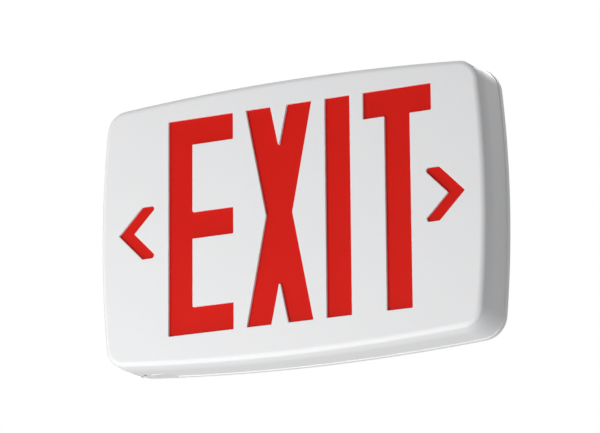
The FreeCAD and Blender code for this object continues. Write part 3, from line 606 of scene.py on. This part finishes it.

# %% [markdown]
# ### Helpers that finish a piece
# A finished piece sits at the origin with its place in its mesh, rides on one body of the
# frame, stands for one or more solids, and takes its slot's material if it has none. Edges
# sharper than 30 degrees stay sharp, and weighted normals keep the flat faces flat next to roundings.

# %% Define how a piece is finished
def smooth(thing):
    """Shade an object smooth up to its sharp edges, and leave its flat faces flat."""
    for polygon in thing.data.polygons:
        polygon.use_smooth = True
    thing.data.set_sharp_from_angle(angle=math.radians(30))
    weights = thing.modifiers.new("weights", "WEIGHTED_NORMAL")
    weights.keep_sharp = True
    weights.weight = 80
    thing.data = evaluated(thing)
    thing.modifiers.clear()


def piece_of(name, mesh, body, slot, stands_for):
    """Finish a piece that rides on a body and replaces solids."""
    mesh.name = name
    made = placed(name, mesh)
    if not mesh.materials:
        mesh.materials.append(finishes[slot].material)
    smooth(made)
    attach(made, body)
    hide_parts(*stands_for)
    print(name, "faces:", len(made.data.polygons))


# %% [markdown]
# ## The housing
# The front housing is one injection moulding. Its outline is not a rectangle: the long
# sides bow outwards on a radius of about 1.7 m and the short ones on 0.8 m, with tight
# corners. A band 5 mm wide runs round the rim, half a millimetre proud behind a fine
# shadow groove, which hides any unevenness of the seam. The walls lean inwards over the
# last 13 mm and meet the face in a small rounding. That is a rule, so the shell is a
# section swept along the bowed outline. A cube with a bevel would give straight sides, and
# a subdivided cage would blur the crisp stencil.

# %% Measure the housing
low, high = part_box("front_housing")
width = high.x - low.x
height = high.z - low.z
depth = -low.y
rim = -high.y
wall, face = 0.0022, 0.0020
side_radius, top_radius, corner = 0.785, 1.685, 0.017
edge_rounding = 0.0042
taper = math.tan(math.radians(1.0))
crown_depth, crown_radius, crown_steps = 0.013, 0.045, 6
crown_back = depth - crown_depth
print("housing", round(width, 4), "x", round(height, 4), "x", round(depth, 4), "m")


# %% Draw the bowed outline
def arc_points(centre, radius, start, end, count):
    """Points along an arc, without its last one."""
    angles = [start + (end - start) * step / count for step in range(count)]
    return [(centre[0] + radius * math.cos(a), centre[1] + radius * math.sin(a)) for a in angles]


def circle(x, z, radius, count=48):
    """A circle as a path, anticlockwise."""
    return [point + (1.0,) for point in arc_points((x, z), radius, 0, 2 * math.pi, count)]


def bowed_outline():
    """The outline, anticlockwise from the middle of the right-hand side."""
    side_x = width / 2 - side_radius
    top_z = height / 2 - top_radius
    side_reach, top_reach = side_radius - corner, top_radius - corner
    span = math.hypot(side_x, top_z)
    along = (side_reach ** 2 - top_reach ** 2 + span ** 2) / (2 * span)
    across = math.sqrt(side_reach ** 2 - along ** 2)
    x = side_x + (-side_x * along - top_z * across) / span
    z = (top_z * along - side_x * across) / span
    side_angle = math.atan2(z, x - side_x)
    top_angle = math.atan2(z - top_z, x)
    quarter = arc_points((side_x, 0), side_radius, 0, side_angle, 12)
    quarter += arc_points((x, z), corner, side_angle, top_angle, 14)
    quarter += arc_points((0, top_z), top_radius, top_angle, math.pi / 2, 18)
    quarter.append((0, height / 2))
    left = [(-px, pz) for px, pz in reversed(quarter[:-1])]
    upper = quarter + left
    lower = [(px, -pz) for px, pz in reversed(upper[1:-1])]
    return upper + lower


outline = [(x, z, 1.0) for x, z in bowed_outline()]
print("outline points:", len(outline))

# %% Sweep the shell's section
def lean(place):
    """How far the taper and the crown bring the wall inwards at a depth."""
    into = max(0.0, place - crown_back)
    return taper * (place - rim) + crown_radius - math.sqrt(crown_radius ** 2 - into ** 2)


flange, band, groove = 0.0112, 0.0052, 0.0006
inner_ease, outer_ease, band_ease, groove_ease = 0.0004, 0.0003, 0.0001, 0.0002
groove_start, groove_end, wall_start = (rim + band + step for step in (0.0002, 0.0014, 0.0016))
crown = [crown_back + crown_depth * step / crown_steps for step in range(crown_steps)]
section = [(depth - face, -flange, 0), (depth - face, -lean(depth - face) - wall, edge_rounding - wall)]
section += [(place, -lean(place) - wall, 0) for place in reversed(crown)]
section += [(rim, -wall, inner_ease), (rim, -outer_ease, outer_ease), (rim + band, 0, band_ease)]
section += [(groove_start, -groove, 0), (groove_end, -groove, 0)]
section += [(wall_start, -lean(crown_back), groove_ease)]
section += [(place, -lean(place), 0) for place in crown]
section += [(depth, -lean(depth), edge_rounding), (depth, -flange, 0)]
shell = swept_mesh([outline], section, 9, "housing_white")
corners = [vertex.co for vertex in shell.vertices]
print("shell x", min(c.x for c in corners), max(c.x for c in corners),
      "y", min(c.y for c in corners), max(c.y for c in corners))

# %% [markdown]
# ### The stencil
# The word and the arrows are cut right through the face, and the red sheet behind shows in
# them. Each cut edge has a tiny rounding, which is what catches the light and separates
# letter from face. So every letter's outline is a path too, and a small section with two
# roundings is swept along it. The letters follow the usual safety pattern: strokes of
# 19 mm on letters 154 mm high.

# %% Draw the stencil's outlines
def rounded(points, radii, steps=5):
    """A closed line through points with a small arc at each corner."""
    line = []
    for index, point in enumerate(points):
        here = Vector(point)
        before = (Vector(points[index - 1]) - here).normalized()
        after = (Vector(points[(index + 1) % len(points)]) - here).normalized()
        half = before.angle(after) / 2
        centre = here + (before + after).normalized() * radii[index] / math.sin(half)
        start = here + before * radii[index] / math.tan(half) - centre
        end = here + after * radii[index] / math.tan(half) - centre
        for step in range(steps + 1):
            arm = start.lerp(end, step / steps).normalized() * radii[index]
            line.append(tuple(centre + arm) + (1.0,))
    return line


top_margin, bottom_margin, arrow_margin, arrow_gap = 0.0197, 0.0243, 0.0162, 0.0086
stroke, gap, crossing, notch = 0.019, 0.0101, 0.0101, 0.030
top, bottom = height / 2 - top_margin, bottom_margin - height / 2
middle = (top + bottom) / 2
tip = width / 2 - arrow_margin
half_arrow, arm, lift = 0.0188, 0.0124, 0.0014
inner_end = tip - half_arrow - arm
# From the E's stem to the T's lie two and a half letters, one and a half strokes and three gaps.
letter = (2 * (inner_end - arrow_gap) - 1.5 * stroke - 3 * gap) / 2.5
print("letters", round(letter, 4), "wide and", round(top - bottom, 4), "high")

# %% Draw the letters
half = stroke / 2
near = arrow_gap - inner_end
far = near + letter
stem = near + stroke
loops = [[(near, bottom), (far, bottom), (far, bottom + stroke), (stem, bottom + stroke),
          (stem, middle - half), (far, middle - half), (far, middle + half), (stem, middle + half),
          (stem, top - stroke), (far, top - stroke), (far, top), (near, top)]]
cross, outer, inner = far + gap + letter / 2, letter / 2, letter / 2 - stroke
loops.append([(cross - outer, bottom), (cross - inner, bottom), (cross, bottom + notch),
              (cross + inner, bottom), (cross + outer, bottom), (cross + crossing, middle),
              (cross + outer, top), (cross + inner, top), (cross, top - notch),
              (cross - inner, top), (cross - outer, top), (cross - crossing, middle)])
near = cross + outer + gap
loops.append([(near, bottom), (near + stroke, bottom), (near + stroke, top), (near, top)])
near = near + stroke + gap
far, stem = near + letter, near + letter / 2
loops.append([(stem - half, bottom), (stem + half, bottom), (stem + half, top - stroke),
              (far, top - stroke), (far, top), (near, top), (near, top - stroke),
              (stem - half, top - stroke)])
sharp, soft = 0.0006, 0.002
cuts = [rounded(loop, [sharp] * len(loop)) for loop in loops]

# %% Draw the arrows
for side in (-1, 1):
    arrow = [(side * tip, lift), (side * (tip - half_arrow), lift + half_arrow),
             (side * inner_end, lift + half_arrow), (side * (tip - arm), lift),
             (side * inner_end, lift - half_arrow), (side * (tip - half_arrow), lift - half_arrow)]
    radii = [sharp, sharp, soft, sharp, soft, sharp]
    if side > 0:
        arrow.reverse()
        radii.reverse()
    cuts.append(rounded(arrow, radii))
print("cut outlines:", len(cuts))


# %% Sweep the cut edges
def area(loop):
    """The signed area inside a loop, positive when it runs anticlockwise."""
    return sum(a[0] * b[1] - b[0] * a[1] for a, b in zip(loop, loop[1:] + loop[:1])) / 2


cuts = [loop if area(loop) > 0 else loop[::-1] for loop in cuts]
lip = 0.00035
edge = [(depth, lip, 0), (depth, 0, lip * 0.9), (depth - face, 0, lip * 0.5), (depth - face, lip, 0)]
rims = swept_mesh(cuts, edge, 3, "housing_white")
print("cut edge faces:", len(rims.polygons))

# %% [markdown]
# ### Closing the face
# The shell stops 11 mm in from the outline, and the cut edges stand free in the middle.
# Two flat sheets join them, one at the front and one 2 mm behind. Filling between all the
# open edges that lie in one plane does this in one step, and leaves the openings open.

# %% Join the shell, the cut edges and the face
work = bmesh.new()
work.from_mesh(shell)
work.from_mesh(rims)
bmesh.ops.remove_doubles(work, verts=work.verts, dist=weld)
for plane in (depth, depth - face):
    open_edges = [edge for edge in work.edges
                  if edge.is_boundary and all(abs(vertex.co.y + plane) < 1e-6 for vertex in edge.verts)]
    bmesh.ops.triangle_fill(work, use_beauty=True, use_dissolve=False, edges=open_edges)
    print("edges closed at", plane, ":", len(open_edges))
bmesh.ops.recalc_face_normals(work, faces=work.faces)
print("open edges left:", sum(edge.is_boundary for edge in work.edges))
work.to_mesh(shell)
work.free()

# %% [markdown]
# ### The console notch
# At the lower left the back plate reaches forwards through the housing's bottom wall and
# carries the test button and the status light. The housing is notched for it. A Boolean
# with a block takes the notch out of the finished shell, with 0.3 mm of clearance.

# %% Cut the notch
def solid_block(low, high):
    """A helper block between two corners."""
    work = bmesh.new()
    bmesh.ops.create_cube(work, size=1.0)
    low, high = Vector(low), Vector(high)
    bmesh.ops.scale(work, verts=work.verts, vec=high - low)
    bmesh.ops.translate(work, verts=work.verts, vec=(low + high) / 2)
    return placed("helper", mesh_from(work))


def carved(mesh, tools):
    """The mesh with each tool's volume taken away."""
    host = placed("helper", mesh)
    for tool in tools:
        cut = host.modifiers.new("cut", "BOOLEAN")
        cut.operation = "DIFFERENCE"
        cut.solver = "EXACT"
        cut.object = tool
    return used_up(host, tools)


clearance = 0.0003
console_margin, console_length, console_depth, notch_height = 0.01525, 0.030, 0.023, 0.014
console_left = low.x + console_margin
console_right = console_left + console_length
cutter = solid_block((console_left - clearance, -console_depth - clearance, -height),
                     (console_right + clearance, 0, -height / 2 + notch_height))
shell = carved(shell, [cutter])
piece_of("housing_shell", shell, "cover", "housing_white", ["front_housing"])

# %% [markdown]
# ## Pegs and clips
# Six pegs on the back of the face pass through the red sheet, and a sprung star washer
# pushed over each peg holds it. The washer's tongues bite into the peg, so its bore has
# teeth and its middle is dished. One peg and one washer are made, and the copying tree
# sets them at the six places.

# %% Set the pegs
peg_x, peg_z, peg_edge = 0.122, 0.062, 0.084
peg_places = [(side * peg_x, row * peg_z) for side in (-1, 1) for row in (-1, 1)]
peg_places += [(0, peg_edge), (0, -peg_edge)]
panel_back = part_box("red_panel")[1].y
peg_end, clip_seat = panel_back + 0.0016, panel_back + 0.0002


def turned(section, slot, segments=24, steps=4):
    """A piece turned on a lathe: its section gives (depth, radius, rounding)."""
    arbor = 0.001
    line = [(place, radius - arbor, rounding) for place, radius, rounding in section]
    return tidied(swept_mesh([circle(0, 0, arbor, segments)], line, steps, slot))


def copied(mesh, places, slot, largest_turn=0.0, seed=1):
    """Copies of a mesh at places, as one plain mesh."""
    made = placed("helper", mesh)
    helpers.append(made)
    return run_tree(copying, {"Piece": made, "Largest Turn": largest_turn, "Seed": seed,
                              "Material": finishes[slot].material}, places)


peg = turned([(0, 0, 0), (0, 0.0015, 0.0004), (0.0035, 0.0015, 0), (0.0035, 0, 0)], "housing_white")
pegs = copied(peg, [(x, peg_end, z) for x, z in peg_places], "housing_white")
piece_of("panel_pegs", pegs, "cover", "housing_white", ["front_housing"])


# %% Shape the star washer and set the clips
def star_washer(outer, bore, slot_radius, teeth=6, steps=8):
    """A sprung washer: a flat rim, and tongues that lean away from the panel."""
    work = bmesh.new()
    rings = []
    for spoke in range(teeth * steps):
        angle = 2 * math.pi * spoke / (teeth * steps)
        in_slot = spoke % steps in (0, 1)
        reach = slot_radius if in_slot else bore
        dish = 0.0 if in_slot else 0.0004
        radii = [(outer, 0.0), (outer * 0.72, 0.0), (slot_radius * 1.05, 0.0), (reach, dish)]
        rings.append([work.verts.new((radius * math.cos(angle), place, radius * math.sin(angle)))
                      for radius, place in radii])
    for first, second in zip(rings, rings[1:] + rings[:1]):
        for a, b, c, d in zip(first, first[1:], second[1:], second):
            work.faces.new((a, b, c, d))
    host = placed("helper", mesh_from(work))
    sheet = host.modifiers.new("sheet", "SOLIDIFY")
    sheet.thickness = 0.00025
    sheet.offset = 0.0
    return tidied(used_up(host), 0.0000001)


washer = star_washer(0.0036, 0.00152, 0.0022)
clips = copied(washer, [(x, clip_seat, z) for x, z in peg_places], "retainer_steel", 0.5, 3)
piece_of("panel_clips", clips, "cover", "retainer_steel", ["panel_retainers"])

# %% [markdown]
# ## Light strips
# Each strip carries twelve red 5 mm diodes in a row. A diode is a turned shape: a small
# flange, a straight barrel and a dome, cast in tinted epoxy. One is swept round from its
# section, and the copying tree sets two rows of twelve. Between them sit flat chip
# resistors: a black body with tinned caps at both ends. The caps are marked by an
# attribute on the faces, which the copies keep and the material reads.

# %% Set the diodes
strip_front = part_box("light_strip_upper")[0].y
strip_height = sum(corner.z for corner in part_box("light_strip_upper")) / 2


def row_of(count, pitch):
    """Evenly spaced places along a row, on both sides of its middle."""
    return [(index - (count - 1) / 2) * pitch for index in range(count)]


diode = turned([(0, 0, 0), (0, 0.0029, 0.0001), (0.001, 0.0029, 0.0002), (0.001, 0.0025, 0.0001),
                (0.0086, 0.0025, 0.00245), (0.0086, 0, 0)], "diode_red", 20, 6)
rows = [(x, strip_front, side * strip_height) for side in (1, -1) for x in row_of(12, 0.019)]
piece_of("diode_rows", copied(diode, rows, "diode_red"), "base", "diode_red",
         ["strip_diodes_upper", "strip_diodes_lower"])

# %% Set the chip resistors
chip_skin = Finish("chip_black", (0.03, 0.03, 0.032), 0.4, 0.0002, 0.000006, 0.1)
caps = chip_skin.graph.add("ShaderNodeAttribute", {"attribute_name": "cap"}).output("Fac")
chip_skin.recolour(caps, (0.72, 0.72, 0.7))
chip_skin.feed("Metallic", caps)
chip_size, cap_start = (0.0032, 0.0006, 0.0016), 0.00115
work = bmesh.new()
bmesh.ops.create_cube(work, size=1.0)
bmesh.ops.scale(work, verts=work.verts, vec=chip_size)
bmesh.ops.translate(work, verts=work.verts, vec=(0, -chip_size[1] / 2, 0))
bmesh.ops.bevel(work, geom=work.edges[:], offset=0.00008, segments=2, affect="EDGES")
for place in (-cap_start, cap_start):
    bmesh.ops.bisect_plane(work, geom=work.verts[:] + work.edges[:] + work.faces[:],
                           plane_co=(place, 0, 0), plane_no=(1, 0, 0))
cap = work.faces.layers.float.new("cap")
for part in work.faces:
    part[cap] = float(abs(part.calc_center_median().x) > cap_start)
chip = mesh_from(work, "chip")
above_row = 0.005
spots = [(x, strip_front, side * strip_height + above_row) for side in (1, -1) for x in row_of(4, 0.057)]
piece_of("strip_chips", copied(chip, spots, "chip_black"), "base", "component_black", ["strip_resistors"])

# %% [markdown]
# ## Screws
# Ten pan-head screws hold the boards. The head and shank are turned, and a cross recess is
# cut into the head. Each copy gets its own random turn about its axis.

# %% Set the screws
blank = turned([(-0.007, 0, 0), (-0.007, 0.00135, 0.0003), (0, 0.00135, 0), (0, 0.0027, 0.00015),
                (0.0019, 0.0027, 0.0010), (0.0019, 0, 0)], "screw_zinc", 28, 5)
recess = [solid_block((-length, -0.0025, -breadth), (length, -0.0009, breadth))
          for length, breadth in ((0.0015, 0.0004), (0.0004, 0.0015))]
screw = carved(blank, recess)
board_low, board_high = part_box("driver_board")
margin, raised = 0.0035, 0.010
seats = [(x, strip_front, side * strip_height) for side in (1, -1) for x in row_of(3, 0.095)]
seats += [(board_low.x + margin, board_low.y, board_high.z - margin),
          (board_high.x - margin, board_low.y, board_high.z - margin),
          (board_low.x + margin, board_low.y, board_low.z + raised),
          (board_high.x - margin, board_low.y, board_low.z + margin)]
piece_of("board_screws", copied(screw, seats, "screw_zinc", 1.5, 11), "base", "screw_zinc",
         ["strip_screws", "driver_screws"])

# %% [markdown]
# ## Transformer core
# A small mains transformer has a core of stamped sheets half a millimetre thick. Drawing
# lines on a block would look flat at its edges, so the sheets are real: one stamping, with
# its two windows, repeated through the stack with a hair of air between.

# %% Stack the core
core_low, core_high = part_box("transformer_core")
across, up_and_down = (core_low.x + core_high.x) / 2, (core_low.z + core_high.z) / 2
half_x, half_z = (core_high.x - core_low.x) / 2, (core_high.z - core_low.z) / 2
window_place, window_half, window_reach = 0.0067, 0.0027, 0.0075
sheet_thickness, sheets = 0.00047, 20
frames = [(-half_x, half_x, -half_z, half_z)]
for side in (-1, 1):
    window = side * window_place
    frames.append((window - window_half, window + window_half, -window_reach, window_reach))
work = bmesh.new()
rims = []
for x0, x1, z0, z1 in frames:
    ring = [work.verts.new((x, 0, z)) for x, z in ((x0, z0), (x1, z0), (x1, z1), (x0, z1))]
    rims += [work.edges.new(pair) for pair in zip(ring, ring[1:] + ring[:1])]
bmesh.ops.triangle_fill(work, use_beauty=True, use_dissolve=False, edges=rims)
thick = bmesh.ops.extrude_face_region(work, geom=work.faces[:])["geom"]
bmesh.ops.translate(work, verts=[part for part in thick if isinstance(part, bmesh.types.BMVert)],
                    vec=(0, -sheet_thickness, 0))
bmesh.ops.recalc_face_normals(work, faces=work.faces)
stamping = mesh_from(work, "stamping")
pitch = (core_high.y - core_low.y) / sheets
stack = [(across, core_high.y - pitch * index, up_and_down) for index in range(sheets)]
piece_of("core_sheets", copied(stamping, stack, "core_steel"), "base", "core_steel", ["transformer_core"])

# %% [markdown]
# ## The remaining parts
# The other solids already have the right shape, but as exact solids their edges are
# knife-sharp and their curves are faceted. Each one is copied, its loose triangles are
# merged, flat areas are joined, and a small bevel rounds the sharp edges, as any moulded
# or stamped part has. The copy takes the solid's place.

# %% Mix the skins that depend on where a part is
transistor = Finish("transistor_black", (0.03, 0.03, 0.032), 0.42, 0.00025, 0.00001, 0.12)
back_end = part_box("power_transistor")[1].y
deep = transistor.axis("Y")
tab_deep, body_deep = 0.003, 0.0121
tinned = (deep > back_end - tab_deep) + (deep < back_end - body_deep)
transistor.recolour(tinned, (0.68, 0.68, 0.67))
transistor.feed("Metallic", tinned)
rectifier = Finish("rectifier_black", (0.03, 0.03, 0.032), 0.4, 0.0003, 0.000008, 0.1)
row_low, row_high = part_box("diodes")
along = rectifier.axis("Z") - (row_low.z + row_high.z) / 2
ring_place, half_ring, half_body = 0.0016, 0.0004, 0.00255
rectifier.recolour(abs(along - ring_place) < half_ring, (0.6, 0.6, 0.6))
legs = abs(along) > half_body
rectifier.recolour(legs, tinned_colour)
rectifier.feed("Metallic", legs)
print("finishes in all:", len(finishes))


# %% Round the edges of the remaining parts
def eased(node, body, slot, bevel, finish=None, tools=()):
    """Copy a solid with merged faces and small rounded edges, after any cuts."""
    work = bmesh.new()
    work.from_mesh(nodes[node].data)
    bmesh.ops.remove_doubles(work, verts=work.verts, dist=weld)
    bmesh.ops.dissolve_limit(work, angle_limit=math.radians(0.05), verts=work.verts, edges=work.edges)
    mesh = mesh_from(work, node)
    mesh.materials.append(finishes[finish or slot].material)
    mesh = carved(mesh, tools)
    if bevel:
        host = placed("helper", mesh)
        ease = host.modifiers.new("ease", "BEVEL")
        ease.width = bevel
        ease.segments = 2
        ease.limit_method = "ANGLE"
        ease.angle_limit = math.radians(40)
        mesh = used_up(host)
    piece_of(node + "_eased", mesh, body, slot, [node])


eased("red_panel", "cover", "panel_red", 0.0002)
eased("test_button", "push", "button_white", 0.0002)
eased("switch_plunger", "push", "component_black", 0.0001)
for node in ("light_strip_upper", "light_strip_lower", "driver_board"):
    eased(node, "base", "board_green", 0.0001)
for node in ("switch_body", "status_holder"):
    eased(node, "base", "component_black", 0.00015)
eased("power_transistor", "base", "component_black", 0.00015, "transistor_black")
eased("diodes", "base", "component_black", 0.0001, "rectifier_black")
eased("resistors", "base", "resistor_tan", 0.0002)
eased("status_diode", "base", "diode_red", 0)
eased("status_lens", "base", "lens_smoke", 0.0001)
for node in ("battery_socket", "battery_plug", "strip_socket"):
    eased(node, "base", "connector_ivory", 0.0002)
for node, slot in (("transformer_coil", "coil_tape"), ("capacitors", "can_sleeve"),
                   ("film_capacitor", "film_red"), ("transfer_relay", "relay_case"),
                   ("supply_terminal", "terminal_green"), ("terminal_screws", "screw_zinc"),
                   ("battery_pack", "battery_sleeve"),
                   ("battery_lead_upper", "lead_red"), ("battery_lead_lower", "lead_black"),
                   ("strip_supply_lead", "lead_red"), ("strip_link_lead", "lead_red")):
    eased(node, "base", slot, 0)

# %% [markdown]
# ## The back plate
# The side that lies on the wall has one more moulded detail: knockouts. Each is a thin
# groove round a disc that an electrician can punch out, a large one round the wire entry
# for a conduit, and six small ones that make an eight-hole ring with the two box screw
# holes. All the grooves are one small section swept along circles, and one Boolean cuts
# them into the plate.

# %% Cut the knockouts and ease the plate
box_ring, knockout, conduit = 0.04445, 0.0032, 0.0155
spots = [(box_ring * math.cos(math.radians(a)), box_ring * math.sin(math.radians(a)))
         for a in (45, 90, 135, 225, 270, 315)]
rings = [circle(x, z, knockout) for x, z in spots] + [circle(0, 0, conduit)]
groove_wide, groove_deep, above = 0.0012, 0.0010, 0.0005
groove_section = [(-above, 0, 0), (groove_deep, 0, 0), (groove_deep, groove_wide, 0),
                  (-above, groove_wide, 0), (-above, 0, 0)]
cutter = placed("helper", tidied(swept_mesh(rings, groove_section, 1, "plate_white")))
eased("back_plate", "base", "plate_white", 0.00015, tools=[cutter])
